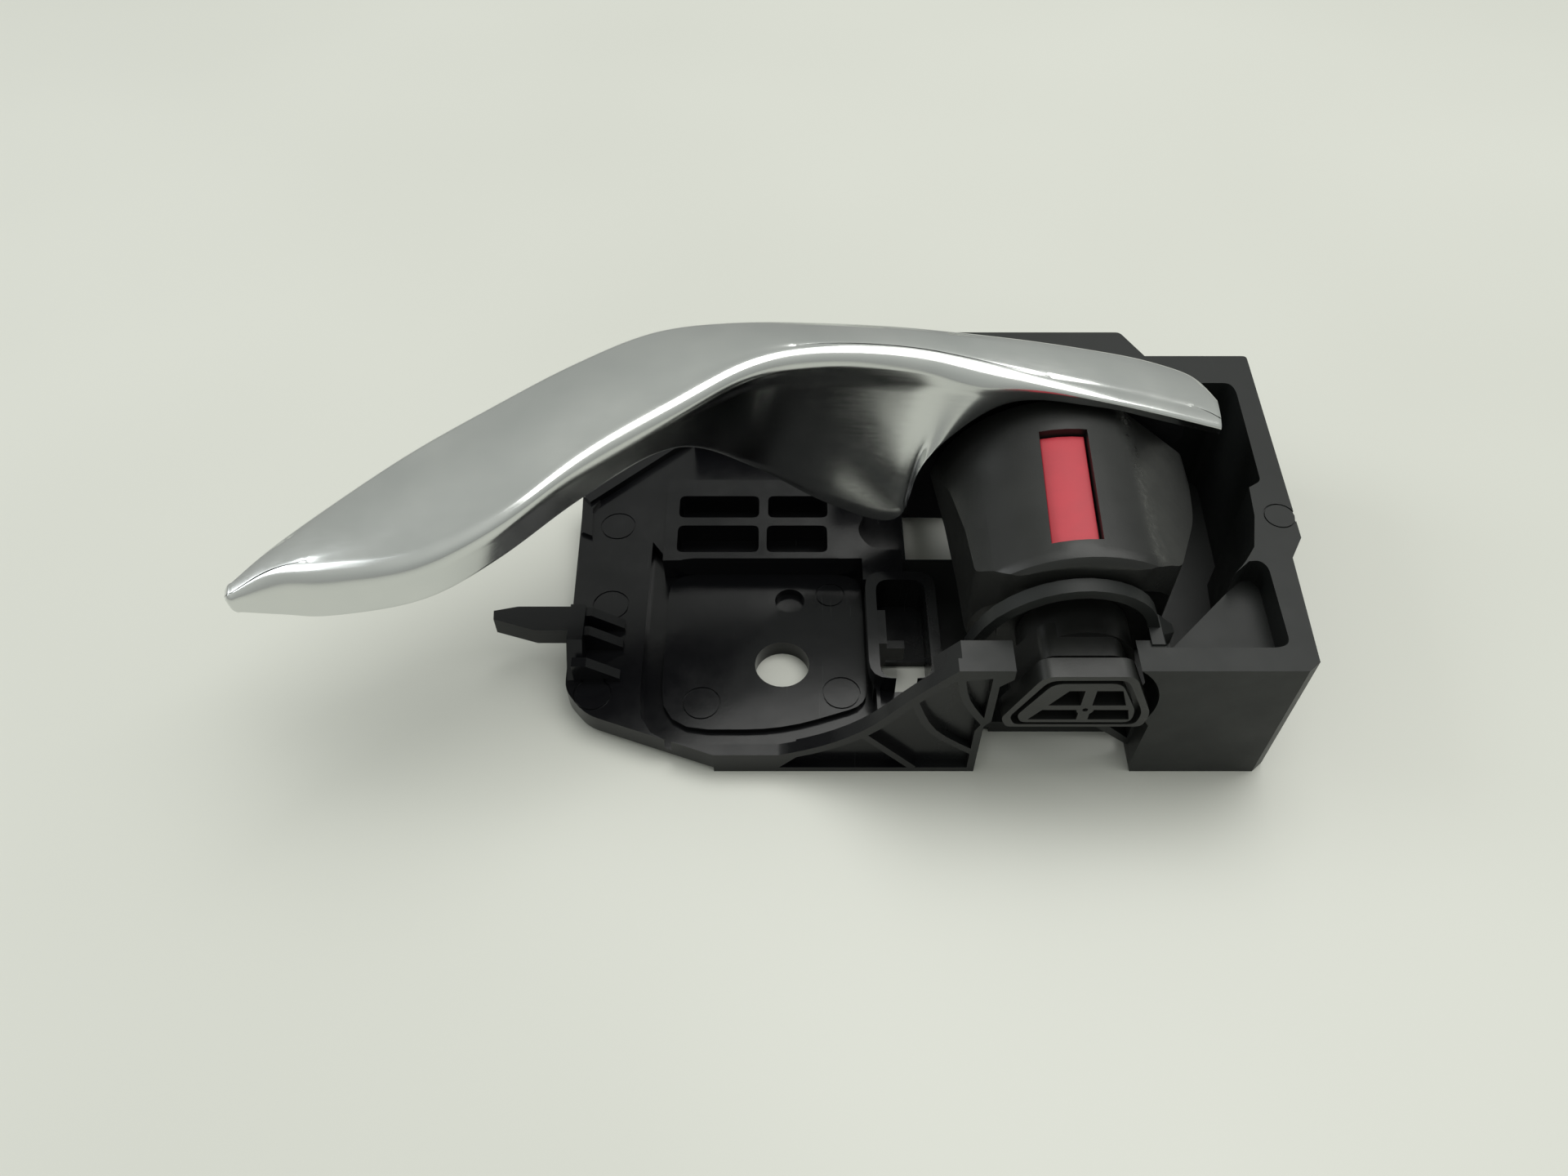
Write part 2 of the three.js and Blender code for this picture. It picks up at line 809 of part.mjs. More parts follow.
// The four corners of the lever's section at t, drawn in by an offset from the outer surface. A size below
// one gives the smaller sections of the rounded nose, beyond the blade's tip.
function leverCorners(t, offset, size = 1) {
  const corners = ["skirt", "back", "crease", "wall"].map((name) => railCurves[name].getPoint(t));
  const middle = corners.reduce((sum, p) => sum.add(p), new THREE.Vector3()).divideScalar(corners.length);
  const reach = lever.nose * Math.sqrt(1 - size * size);
  const [s, b, c, w] = corners.map((p) => p.lerp(middle, 1 - size).addScaledVector(noseDirection, reach));
  const past = Math.max(0, b.x - (rails.back.at(-1)[0] - lever.corner));
  const rounding = lever.corner - Math.sqrt(Math.max(0, lever.corner ** 2 - past ** 2));
  s.y -= rounding;
  b.y -= rounding;
  const side = Math.min(offset, (b.y - c.y) * 0.32);
  const top = Math.min(offset, (c.z - w.z) * 0.45);
  s.y -= side;
  b.y -= side;
  b.z -= top;
  c.y += side;
  c.z -= top;
  w.y += side;
  return { s, b, c, w };
}

// How far the deep part of the front wall is hollowed in.
function scoopDepth(c, w) {
  return Math.max(0, c.z - w.z - 8) * lever.scoop;
}

// A polyline across the section: up the skirt, round the back edge, over the crowned face, round the crease
// and down the hollow front wall.
function leverRow(t, offset, size) {
  const { s, b, c, w } = leverCorners(t, offset, size);
  const width = b.distanceTo(c);
  const bend = (corner, from, to, r, count) => {
    const start = corner.clone().lerp(from, Math.min(0.45, r / corner.distanceTo(from)));
    const end = corner.clone().lerp(to, Math.min(0.45, r / corner.distanceTo(to)));
    const curve = new THREE.QuadraticBezierCurve3(start, corner, end);
    return curve.getPoints(count);
  };
  const crown = b.clone().lerp(c, 0.5);
  crown.z += width * 0.02;
  const depth = scoopDepth(c, w);
  const wallPoints = [0.5, 0.66, 0.83].map((along) => {
    const point = c.clone().lerp(w, along);
    point.y += 4 * along * (1 - along) * depth;
    return point;
  });
  return [
    s,
    ...bend(b, s, c, 1.2, 2),
    crown,
    ...bend(c, b, w, 3, 4),
    ...wallPoints,
    w,
  ];
}

// Closes rows of an outer and an inner surface into one shell.
function shellFrom(outerRows, innerRows) {
  const position = [];
  const quad = (a, b, c, d) => {
    [a, c, b, a, d, c].forEach((p) => position.push(p.x, p.y, p.z));
  };
  const last = outerRows[0].length - 1;
  for (let i = 0; i < outerRows.length - 1; i += 1) {
    for (let k = 0; k < last; k += 1) {
      quad(outerRows[i][k], outerRows[i + 1][k], outerRows[i + 1][k + 1], outerRows[i][k + 1]);
      quad(innerRows[i][k], innerRows[i][k + 1], innerRows[i + 1][k + 1], innerRows[i + 1][k]);
    }
    quad(outerRows[i][0], innerRows[i][0], innerRows[i + 1][0], outerRows[i + 1][0]);
    quad(outerRows[i][last], outerRows[i + 1][last], innerRows[i + 1][last], innerRows[i][last]);
  }
  const end = outerRows.length - 1;
  for (let k = 0; k < last; k += 1) {
    quad(outerRows[0][k], outerRows[0][k + 1], innerRows[0][k + 1], innerRows[0][k]);
    quad(outerRows[end][k], innerRows[end][k], innerRows[end][k + 1], outerRows[end][k + 1]);
  }
  const geometry = new THREE.BufferGeometry();
  geometry.setAttribute("position", new THREE.Float32BufferAttribute(position, 3));
  return solid(geometry);
}

// Closes rows of corners into one solid bar with flat ends.
function barFrom(rows) {
  const position = [];
  const tri = (a, b, c) => [a, c, b].forEach((p) => position.push(p.x, p.y, p.z));
  const count = rows[0].length;
  for (let i = 0; i < rows.length - 1; i += 1) {
    for (let k = 0; k < count; k += 1) {
      const n = (k + 1) % count;
      tri(rows[i][k], rows[i + 1][k], rows[i + 1][n]);
      tri(rows[i][k], rows[i + 1][n], rows[i][n]);
    }
  }
  const end = rows.length - 1;
  for (let k = 1; k < count - 1; k += 1) {
    tri(rows[0][0], rows[0][k], rows[0][k + 1]);
    tri(rows[end][0], rows[end][k + 1], rows[end][k]);
  }
  const geometry = new THREE.BufferGeometry();
  geometry.setAttribute("position", new THREE.Float32BufferAttribute(position, 3));
  return solid(geometry);
}

// The cover's wall, from its outer surface to the given depth.
function leverSkin(depth) {
  const at = Array.from({ length: stations + 1 }, (_, i) => i / stations);
  const rows = (offset) => [
    ...noseSizes.map((size) => leverRow(0, offset, size)),
    ...at.map((t) => leverRow(t, offset)),
  ];
  return shellFrom(rows(0), rows(depth));
}

// The section's middle, under the blade, where a cover screw sits with its tip just under the cover.
function screwSeat(station) {
  const { s, b, c, w } = leverCorners(station / lastStation, lever.wall + gap);
  const tip = (b.z + c.z) / 2;
  return { x: (s.x + w.x) / 2, y: (s.y + w.y) / 2, z: tip - screw.length - screw.headDepth + gap };
}

// The blade's core fills the cover from below; the hub hangs from it behind the knob.
function leverCarrier() {
  const inset = lever.wall + lever.core + gap;
  const from = 0.9 / lastStation;
  const to = 8.6 / lastStation;
  const steps = 30;
  const rows = Array.from({ length: steps + 1 }, (_, i) => {
    const { s, b, c, w } = leverCorners(from + ((to - from) * i) / steps, inset);
    const depth = scoopDepth(c, w);
    c.y += depth;
    w.y += depth;
    b.z -= 0.4;
    c.z -= 0.4;
    s.z += 0.6;
    w.z += 0.6;
    return [s, b, c, w];
  });
  const blade = barFrom(rows);
  const arm = crosswise(
    [
      [-43, 13.5],
      [-24, -1],
      [-22.4, -10, 1],
      [foot.right, foot.under, 1],
      [-9, -8.6],
      [8, -8.6, 2],
      [10, 0],
      [21.5, 9.5, 1],
      [21, 15.2],
      [12.5, 18.2],
      [2, 20.8],
      [-12, 24],
      [-26, 25.2],
      [-43, 25.6],
    ],
    lever.hubNear + 1.2,
    50.4,
  );
  const rest = crosswise(
    [
      [foot.left, foot.under + 0.2],
      [foot.right, foot.under + 0.2],
      [foot.right, foot.under + 6],
      [foot.left, foot.under + 6],
    ],
    50,
    foot.back,
  );
  const hub = bar(lever.hubR, lever.hubNear, spool.near);
  const spoolBody = bar(spool.r, spool.near - 0.5, lever.hubFar);
  const seats = screwStations.flatMap((station) => {
    const { x, y, z } = screwSeat(station);
    return [
      post(x, y, screw.headR + gap, z - 8, z + screw.headDepth, 18),
      post(x, y, screw.shankR + gap, z - 8, z + screw.length + screw.headDepth + gap, 14),
    ];
  });
  const body = cut(fuse(blade, arm, rest, hub, spoolBody), leverSkin(lever.wall + gap));
  return cut(body, bar(bushOuter + gap, lever.hubNear - through, lever.hubFar + through, 28), ...seats);
}

place(leverGroup, "lever_cover", "chrome", leverSkin(lever.wall));
place(leverGroup, "lever_carrier", "carrier", leverCarrier());

// ---------------------------------------------------------------- lock knob

const knobPlan = [
  [-20.4, knob.far],
  [-18.2, 34],
  [-16.9, 24],
  [-16.3, 15, 1],
  [-11.4, knob.near + 0.5, 2],
  [0, knob.near],
  [8, knob.near + 0.4, 2],
  [13.9, 14.6, 1.5],
  [19.6, 28, 3],
  [knob.facetLowX, 39, 2],
  [knob.facetLowX, knob.far],
];

function knobProfile(shrink) {
  const r = knob.radius - shrink;
  const start = 180 - THREE.MathUtils.radToDeg(Math.asin(knob.leftZ / knob.radius));
  const stop = THREE.MathUtils.radToDeg(Math.acos(knob.facetTopX / knob.radius));
  const top = arc(r, start, stop, 18);
  return [
    ...top,
    [knob.facetLowX - shrink, knob.facetLowZ - shrink * 0.4, 1.2],
    [knob.facetLowX - shrink, knob.skirtZ - shrink * 4],
    [-14, knob.skirtZ - shrink * 4],
    [top[0][0], knob.leftZ - shrink * 4],
  ].reverse();
}

// The knob's outer form: straight sections, drawn in towards the near end so that its rim is rounded.
function knobForm(shrink, from, to) {
  const rim = [0, 0.16, 0.42, 1].map((along) => ({
    y: knob.near + shrink + knob.rimR * along,
    inset: knob.rimR * (1 - Math.sqrt(1 - (1 - along) ** 2)),
  }));
  const sections = [{ y: from, inset: rim[0].inset }, ...rim, { y: to, inset: 0 }].filter(
    ({ y }, i) => i === 0 || y > from,
  );
  const rows = sections.map(({ y, inset }) => {
    const ring = outline(knobProfile(shrink + inset).reverse()).getPoints(arcSteps);
    return ring.slice(0, -1).map((p) => new THREE.Vector3(pivot.x + p.x, y, pivot.z + p.y));
  });
  return barFrom(rows);
}

function knobShell() {
  const plan = (inset) =>
    upright(
      knobPlan.map(([x, y, r = 0]) => [
        x - Math.sign(x) * inset,
        THREE.MathUtils.clamp(y, knob.near + inset, knob.far - inset),
        r,
      ]),
      -20,
      60,
    );
  const outer = knobForm(0, knob.near - 0.01, knob.far + through).intersect(plan(0));
  const webNear = knob.near + knob.recess;
  const inside = crosswise(knobProfile(knob.wall), knob.near - 2 * through, knob.far);
  const inner = inside.intersect(plan(knob.wall));
  const webBack = upright(box2(-40, webNear, 40, webNear + knob.wall), -20, 60);
  const hollowR = knob.radius - knob.wall - 2.4;
  const nearHollow = bar(hollowR, knob.near - through, webNear + through / 2, ringSteps, 0, -1);
  const ends = [
    [webNear, webNear + knob.wall],
    [knob.far - knob.wall, knob.far],
  ].map(([from, to]) => bar(knob.hubR, from, to));
  const crownZ = pivot.z + knob.radius;
  const window = indicatorOutline(gap, crownZ - knob.wall - 3, crownZ + through);
  const web = outer.intersect(webBack);
  const shell = cut(fuse(cut(outer, inner), web), nearHollow);
  return cut(fuse(shell, ...ends), bar(knob.coreR + gap, 0, knob.far + 2), window);
}

// The red plate's outline, a little askew on the knob, grown by an offset.
function indicatorOutline(grow, fromZ, toZ) {
  const half = indicator.width / 2 + grow;
  const slope = indicator.lean / (indicator.far - indicator.near);
  const lean = (y) => indicator.centreX - (indicator.far - y) * slope;
  const near = indicator.near - grow;
  const far = indicator.far + grow;
  return upright(
    [
      [lean(near) - half, near],
      [lean(near) + half, near],
      [lean(far) + half, far],
      [lean(far) - half, far],
    ],
    fromZ,
    toZ,
  );
}

// The red plate sits sunk in the knob's window and follows its curve.
function indicatorPlate() {
  const r = knob.radius - indicator.sunk;
  const ring = crosswise(
    [...arc(r, 130, 50, 12), ...arc(r - indicator.thick, 50, 130, 12)].reverse(),
    indicator.near - through,
    indicator.far + through,
  );
  return ring.intersect(indicatorOutline(0, pivot.z, pivot.z + knob.radius));
}

// The neck, its flange and the flat end that shows in front of the housing.
const endPlate = [
  [-12.2, -2.2, 0.8],
  [-7.4, 8.6, 1.6],
  [5.8, 8.6, 1.6],
  [9.9, -1, 1.4],
  [9.4, -4.6, 1.2],
  [-11.2, -4.6, 0.8],
];

function scaled(corners, inset) {
  const cx = -1.1;
  const cz = 1.6;
  return corners.map(([x, z, r = 0]) => {
    const length = Math.hypot(x - cx, z - cz);
    const k = (length - inset) / length;
    return [cx + (x - cx) * k, cz + (z - cz) * k, r];
  });
}

function lockShaft() {
  const webFace = knob.near + knob.recess - gap;
  const neck = crosswise(scaled(endPlate, 1.6).reverse(), 3.6, knob.near - 1);
  const collar = bar(knob.collarR, 7, webFace);
  const throat = crosswise(scaled(endPlate, 3).reverse(), 1.8, 4.6);
  const flange = crosswise(endPlate.toReversed(), -1, 2.4);
  const moat = cut(
    crosswise(scaled(endPlate, 1.3).reverse(), -2, 0.6),
    crosswise(scaled(endPlate, 2.4).reverse(), -3, 1),
  );
  const core = bar(knob.coreR, knob.near, knob.far + 0.2);
  const panes = [
    [
      [-5.7, 1.2],
      [-3.2, 5],
      [-0.9, 5],
      [-0.9, 1.2],
    ],
    [
      [0.8, 1.2],
      [0.8, 5],
      [4.6, 5],
      [5.8, 1.2],
    ],
    [
      [-8.2, -2.6],
      [-6.4, 0],
      [-0.9, 0],
      [-0.9, -2.6],
    ],
    [
      [0.8, -2.6],
      [0.8, 0],
      [6.4, 0],
      [7, -2.6],
    ],
  ].map((corners) => crosswise(corners.reverse(), -2, 1.4));
  const boss = bar(1.3, -1, 1.4, 16);
  const body = cut(fuse(neck, collar, throat, flange, core), moat, ...panes);
  return cut(fuse(body, boss), bar(0.45, -1.6, -0.4, 8), bar(pivot.pinR + 1 + gap, 6, knob.far + 2));
}

place(knobGroup, "lock_knob", "knob", knobShell());
place(knobGroup, "lock_indicator", "indicator", indicatorPlate());
place(knobGroup, "lock_shaft", "knob", lockShaft());

// The arm that pulls on the lock rod, below the knob's shaft.
function lockCrank() {
  const armPlate = crosswise(
    [
      [-4.6, -4],
      [-5.4, -14.6, 1.6],
      [-0.4, -14.6, 1.6],
      [3.4, -4],
    ],
    crank.near,
    crank.near + crank.thick,
  );
  const cutter = [crank.near - through, crank.near + crank.thick + through];
  const rodHole = bar(crank.eyeR, ...cutter, 16, crank.eyeX, -crank.reach);
  return cut(armPlate, bar(knob.coreR + gap, ...cutter), rodHole);
}

place(knobGroup, "lock_crank", "steel", lockCrank());

// ---------------------------------------------------------------- pin, bushes and screws

// A ring about the pivot axis.
function ring(outerR, innerR, fromY, toY, steps = 28) {
  return cut(bar(outerR, fromY, toY, steps), bar(innerR, fromY - through, toY + through, steps));
}

place(model, "pivot_pin", "steel", bar(pivot.pinR, 7, pivot.backY, 24));
place(
  model,
  "pin_clip",
  "steel",
  ring(pinClip.outerR, pivot.pinR + gap, clipSeat.near + gap, clipSeat.near + gap + pinClip.thick),
);

const leverBush = (barrelNear, barrelFar, flangeNear) =>
  fuse(
    ring(bushOuter, bushInner, barrelNear, barrelFar),
    ring(bushOuter + bush.flangeWidth, bushInner, flangeNear, flangeNear + bush.flange),
  );
const nearFlange = lever.hubNear - gap - bush.flange;
place(leverGroup, "lever_bush_near", "bush", leverBush(nearFlange, lever.hubNear + 5, nearFlange));
const farFlange = lever.hubFar + gap;
place(leverGroup, "lever_bush_far", "bush", leverBush(lever.hubFar - 5, farFlange + bush.flange, farFlange));
place(knobGroup, "knob_bush_near", "bush", ring(pivot.pinR + 1, pivot.pinR + gap, 10, 14));
place(knobGroup, "knob_bush_far", "bush", ring(pivot.pinR + 1, pivot.pinR + gap, knob.far - 4, knob.far));

screwStations.forEach((station, i) => {
  const { x, y, z } = screwSeat(station);
  const headTop = z + screw.headDepth - gap;
  const head = post(x, y, screw.headR, headTop - 1.5, headTop, 18);
  const shank = post(x, y, screw.shankR, headTop - 0.5, headTop + screw.length, 14);
  const slot = upright(box2(x - 0.3, y - 1.6, x + 0.3, y + 1.6), headTop - 2, headTop - 0.9);
  const cross = upright(box2(x - 1.6, y - 0.3, x + 1.6, y + 0.3), headTop - 2, headTop - 0.9);
  place(leverGroup, `cover_screw_${i + 1}`, "steel", cut(fuse(head, shank), slot, cross));
});

// ---------------------------------------------------------------- springs, stops and cable arm

// The return spring winds round the spool behind the lever's hub.
class CoilCurve extends THREE.Curve {
  getPoint(t, target = new THREE.Vector3()) {
    const angle = 2 * Math.PI * spring.turns * t + 0.4;
    const y = THREE.MathUtils.lerp(spring.near, spring.far, t);
    return target.set(spring.r * Math.cos(angle), y, pivot.z + spring.r * Math.sin(angle));
  }
}

function returnSpring() {
  const section = outline(
    Array.from({ length: 6 }, (_, i) => {
      const angle = (i * Math.PI) / 3;
      return [(spring.wire / 2) * Math.cos(angle), (spring.wire / 2) * Math.sin(angle)];
    }),
  );
  const steps = spring.turns * 16;
  const settings = { steps, extrudePath: new CoilCurve(), bevelEnabled: false };
  return solid(new THREE.ExtrudeGeometry(section, settings));
}

place(model, "lever_return_spring", "steel", returnSpring());

// The pressed arm under the hub that pulls the latch cable.
function cableArm() {
  const armPlate = crosswise(
    [
      [-6.4, -6],
      [-5, -16.4, 1.6],
      [-0.6, -16.4, 1.6],
      [3.4, -6],
    ],
    lever.hubNear + 6.2,
    lever.hubNear + 8,
  );
  return cut(armPlate, bar(lever.hubR + gap, 40, 62), bar(1.4, 40, 62, 16, -2.8, -13.8));
}

place(leverGroup, "lever_cable_arm", "steel", cableArm());

const footUnderZ = pivot.z + foot.under + 0.2;
place(
  model,
  "lever_rest_pad",
  "rubber",
  upright(
    box2(foot.left + 0.6, restShelf.near + 0.5, foot.right - 0.4, foot.back - 0.6, 1),
    restShelf.top + gap,
    footUnderZ - gap,
  ),
);
place(
  model,
  "lever_stop_bumper",
  "rubber",
  upright(
    box2(stopPost.left + 0.4, stopPost.near + 0.4, stopPost.right - 0.4, stopPost.far - 0.4, 1),
    stopPost.top + gap,
    stopPost.top + gap + stopPost.pad,
  ),
);
place(
  model,
  "knob_stop_bumper",
  "rubber",
  upright(box2(13.6, 22, 20.4, 34, 1), housing.floorTop + gap, housing.floorTop + 2.2),
);

// A bent leaf on the floor clicks into the knob's shaft and holds it in both positions.
function detentSpring() {
  const t = detent.thick;
  const lowRel = housing.floorTop + gap - pivot.z;
  const nose = -(knob.coreR + gap);
  return crosswise(
    [
      [detent.foot, lowRel],
      [-6.4, lowRel],
      [detent.x, nose - t],
      [2.6, nose - 4],
      [2.6 + t, nose - 4 + t * 0.6],
      [detent.x, nose],
      [-6.7, lowRel + t],
      [detent.foot, lowRel + t],
    ],
    detent.near,
    detent.far,
  );
}

place(model, "knob_detent_spring", "steel", detentSpring());

// The finished part stands on its underside, centred on its footprint.
const part = new THREE.Group();
part.add(model);
const bounds = new THREE.Box3().setFromObject(model, true);
const middle = bounds.getCenter(new THREE.Vector3());
model.position.set(-middle.x, -middle.y, -bounds.min.z);

export default part;
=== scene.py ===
import json
import math

import bpy
import numpy as np
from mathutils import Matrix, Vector

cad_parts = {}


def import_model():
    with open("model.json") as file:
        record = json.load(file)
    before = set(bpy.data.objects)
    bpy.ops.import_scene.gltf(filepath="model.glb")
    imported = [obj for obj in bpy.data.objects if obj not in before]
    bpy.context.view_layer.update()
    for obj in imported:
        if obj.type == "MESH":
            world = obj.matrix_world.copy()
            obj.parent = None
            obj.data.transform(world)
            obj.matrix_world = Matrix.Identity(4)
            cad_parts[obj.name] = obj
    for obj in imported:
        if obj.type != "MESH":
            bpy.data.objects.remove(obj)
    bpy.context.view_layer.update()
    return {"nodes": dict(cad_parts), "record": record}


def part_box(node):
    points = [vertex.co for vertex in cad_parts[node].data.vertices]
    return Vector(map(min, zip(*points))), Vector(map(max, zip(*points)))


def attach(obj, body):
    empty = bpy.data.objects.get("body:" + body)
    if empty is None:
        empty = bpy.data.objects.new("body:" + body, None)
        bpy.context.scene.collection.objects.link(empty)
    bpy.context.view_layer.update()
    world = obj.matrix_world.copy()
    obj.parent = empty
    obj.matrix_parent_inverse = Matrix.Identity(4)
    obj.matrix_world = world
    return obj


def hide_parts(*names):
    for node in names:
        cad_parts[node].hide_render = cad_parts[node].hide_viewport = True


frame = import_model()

MM = 0.001
HOUSING_BACK = 74.8  # millimetres from the housing's front face to its back edge
NODES = frame["nodes"]
PIN_LOW, PIN_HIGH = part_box("pivot_pin")
PIVOT_X = (PIN_LOW[0] + PIN_HIGH[0]) / 2
PALE_SPECK = 2.2  # how much paler than the plastic its dust is
PALE_SCUFF = 3.0
FACET_LINE = 9.5  # millimetres from the pivot axis to the line along the knob where its facet begins


# ---------------------------------------------------------------- node trees

def add(tree, kind, settings=None, **inputs):
    """A shader node; Base_Color=... sets or links its socket "Base Color", and _0=... its first socket."""
    node = tree.nodes.new(kind)
    for name, value in (settings or {}).items():
        setattr(node, name, value)
    for name, value in inputs.items():
        place = int(name[1:]) if name[0] == "_" else name.replace("_", " ")
        socket = node.inputs[place]
        if isinstance(value, bpy.types.NodeSocket):
            tree.links.new(value, socket)
        else:
            socket.default_value = value
    return node


class Look:
    """A material with a Principled shader, and short names for the patterns it is built from."""

    def __init__(self, name):
        self.material = bpy.data.materials.new(name)
        self.material.use_nodes = True
        self.tree = self.material.node_tree
        self.shader = self.tree.nodes["Principled BSDF"]
        self.place = add(self.tree, "ShaderNodeTexCoord").outputs["Object"]

    def stretched(self, scale, turn=(0, 0, 0)):
        return add(self.tree, "ShaderNodeMapping", Vector=self.place, Scale=scale, Rotation=turn).outputs[0]

    def noise(self, millimetres, detail=3, rough=0.55, at=None, distortion=0.0):
        """Noise from 0 to 1 with features of that size."""
        return add(self.tree, "ShaderNodeTexNoise", Vector=at or self.place, Scale=1 / (millimetres * MM),
                   Detail=detail, Roughness=rough, Distortion=distortion).outputs["Fac"]

    def ramp(self, value, low, high, to_low=0.0, to_high=1.0):
        """A value spread from one range onto another, and held at its ends."""
        node = add(self.tree, "ShaderNodeMapRange", {"clamp": True}, Value=value,
                   From_Min=low, From_Max=high, To_Min=to_low, To_Max=to_high)
        return node.outputs["Result"]

    def maths(self, operation, a, b):
        return add(self.tree, "ShaderNodeMath", {"operation": operation}, _0=a, _1=b).outputs[0]

    def mix(self, factor, a, b):
        node = add(self.tree, "ShaderNodeMix", {"data_type": "RGBA"})
        for socket, value in ((node.inputs["Factor"], factor), (node.inputs[6], a), (node.inputs[7], b)):
            if isinstance(value, bpy.types.NodeSocket):
                self.tree.links.new(value, socket)
            else:
                socket.default_value = (*value, 1) if isinstance(value, tuple) else value
        return node.outputs[2]

    def bump(self, height, millimetres, strength=1.0, over=None):
        node = add(self.tree, "ShaderNodeBump", Height=height, Distance=millimetres * MM, Strength=strength)
        if over is not None:
            self.tree.links.new(over, node.inputs["Normal"])
        return node.outputs["Normal"]

    def scratches(self, millimetres, turn, amount):
        """Thin straight scratches: 0 where there are none, 1 along a scratch."""
        lines = self.noise(millimetres, 2, 0.5, self.stretched((1, 0.03, 0.03), turn), 0.6)
        patches = self.ramp(self.noise(14, 2), 0.48, 0.62)
        return self.maths("MULTIPLY", self.ramp(lines, 0.74 - amount, 0.8 - amount), patches)

    def plastic(self, drift, colour, lighter, wear):
        """Base colour of moulded plastic with pale specks of dust and fine scratches."""
        speck = self.ramp(self.noise(0.5, 2, 0.7), 0.66, 0.78)
        marks = [self.scratches(0.55, (0, 0, 0.5), wear), self.scratches(0.4, (0.3, 0.8, 2.1), wear)]
        base = self.mix(drift, colour, lighter)
        base = self.mix(self.maths("MULTIPLY", speck, 0.25), base, tuple(PALE_SPECK * c for c in lighter))
        scuffs = self.maths("MULTIPLY", self.maths("MAXIMUM", *marks), 0.35)
        self.set(Base_Color=self.mix(scuffs, base, tuple(PALE_SCUFF * c for c in lighter)))

    def set(self, **inputs):
        for name, value in inputs.items():
            socket = self.shader.inputs[name.replace("_", " ")]
            if isinstance(value, bpy.types.NodeSocket):
                self.tree.links.new(value, socket)
            else:
                socket.default_value = value
        return self


def moulded(name, colour, lighter, gloss, grain, grain_size, level=0.5):
    """Moulded plastic or rubber: fine grain, slow colour change, smudges and a little dust."""
    look = Look(name)
    drift = look.ramp(look.noise(22, 3), 0.35, 0.68)
    look.plastic(drift, colour, lighter, 0.0)
    smudge = look.ramp(look.noise(7, 4, 0.6), 0.3, 0.75, gloss - 0.06, gloss + 0.09)
    normal = look.bump(look.noise(grain_size, 4, 0.6), 0.02, grain)
    normal = look.bump(look.noise(9, 2), 0.12, 0.35, normal)
    look.set(Roughness=smudge, Normal=normal)
    look.set(Specular_IOR_Level=level)
    return look.material


def housing_plastic():
    """One moulding with two finishes: a shiny dark plate on the left, a duller, greyer block."""
    look = Look("housing_plastic")
    along = add(look.tree, "ShaderNodeSeparateXYZ", Vector=look.place).outputs["X"]
    wander = look.ramp(look.noise(12, 2), 0.2, 0.8, -3 * MM, 3 * MM)
    block = look.ramp(look.maths("ADD", along, wander), PIVOT_X - 24 * MM, PIVOT_X - 12 * MM)
    look.plastic(block, (0.0042, 0.0043, 0.0052), (0.0115, 0.0128, 0.0125), 0.035)
    smudge = look.ramp(look.noise(7, 4, 0.6), 0.3, 0.75, -0.05, 0.07)
    rough = look.maths("ADD", look.ramp(block, 0, 1, 0.2, 0.45), smudge)
    grain = look.bump(look.noise(0.5, 4, 0.6), 0.02, 0.22)
    look.set(Roughness=rough, Normal=look.bump(look.noise(9, 2), 0.1, 0.35, grain))
    look.set(Specular_IOR_Level=0.3)
    return look.material


def knob_plastic():
    """Fine-grained plastic, worn shiny in flecks along the knob's facet line and duller elsewhere."""
    look = Look("knob_plastic")
    along = add(look.tree, "ShaderNodeSeparateXYZ", Vector=look.place).outputs["X"]
    away = look.maths("ABSOLUTE", look.maths("SUBTRACT", along, PIVOT_X + FACET_LINE * MM), 0.0)
    band = look.ramp(away, 0.5 * MM, 2.2 * MM, 1.0, 0.0)
    flecks = look.ramp(look.noise(1.6, 4, 0.65), 0.42, 0.62)
    worn = look.maths("MULTIPLY", band, flecks)
    drift = look.ramp(look.noise(22, 3), 0.35, 0.68)
    look.plastic(drift, (0.0085, 0.0088, 0.0086), (0.0135, 0.0142, 0.0132), 0.02)
    smudge = look.ramp(look.noise(7, 4, 0.6), 0.3, 0.75, 0.33, 0.47)
    rough = look.maths("SUBTRACT", smudge, look.maths("MULTIPLY", worn, 0.16))
    grain = look.bump(look.noise(0.28, 4, 0.6), 0.02, 0.6)
    look.set(Roughness=rough, Normal=look.bump(look.noise(9, 2), 0.12, 0.35, grain))
    look.set(Specular_IOR_Level=0.45)
    return look.material


def satin_chrome():
    """Satin chrome: long polishing lines, cloudy haze and small marks from fingers."""
    look = Look("satin_chrome")
    lines = look.noise(0.5, 3, 0.6, look.stretched((0.05, 1, 1), (0, 0, 0.55)))
    haze = look.noise(16, 3, 0.55)
    marks = look.scratches(0.3, (0, 0.2, 0.9), 0.0)
    rough = look.ramp(haze, 0.3, 0.7, 0.15, 0.23)
    rough = look.maths("ADD", rough, look.ramp(lines, 0.3, 0.7, -0.02, 0.02))
    rough = look.maths("ADD", rough, look.maths("MULTIPLY", marks, 0.05))
    colour = look.mix(look.ramp(haze, 0.3, 0.7), (0.66, 0.675, 0.67), (0.72, 0.73, 0.72))
    normal = look.bump(lines, 0.004, 0.35)
    normal = look.bump(look.noise(11, 1), 0.06, 0.4, normal)
    look.set(Base_Color=colour, Roughness=rough, Normal=normal, Metallic=1.0)
    return look.material


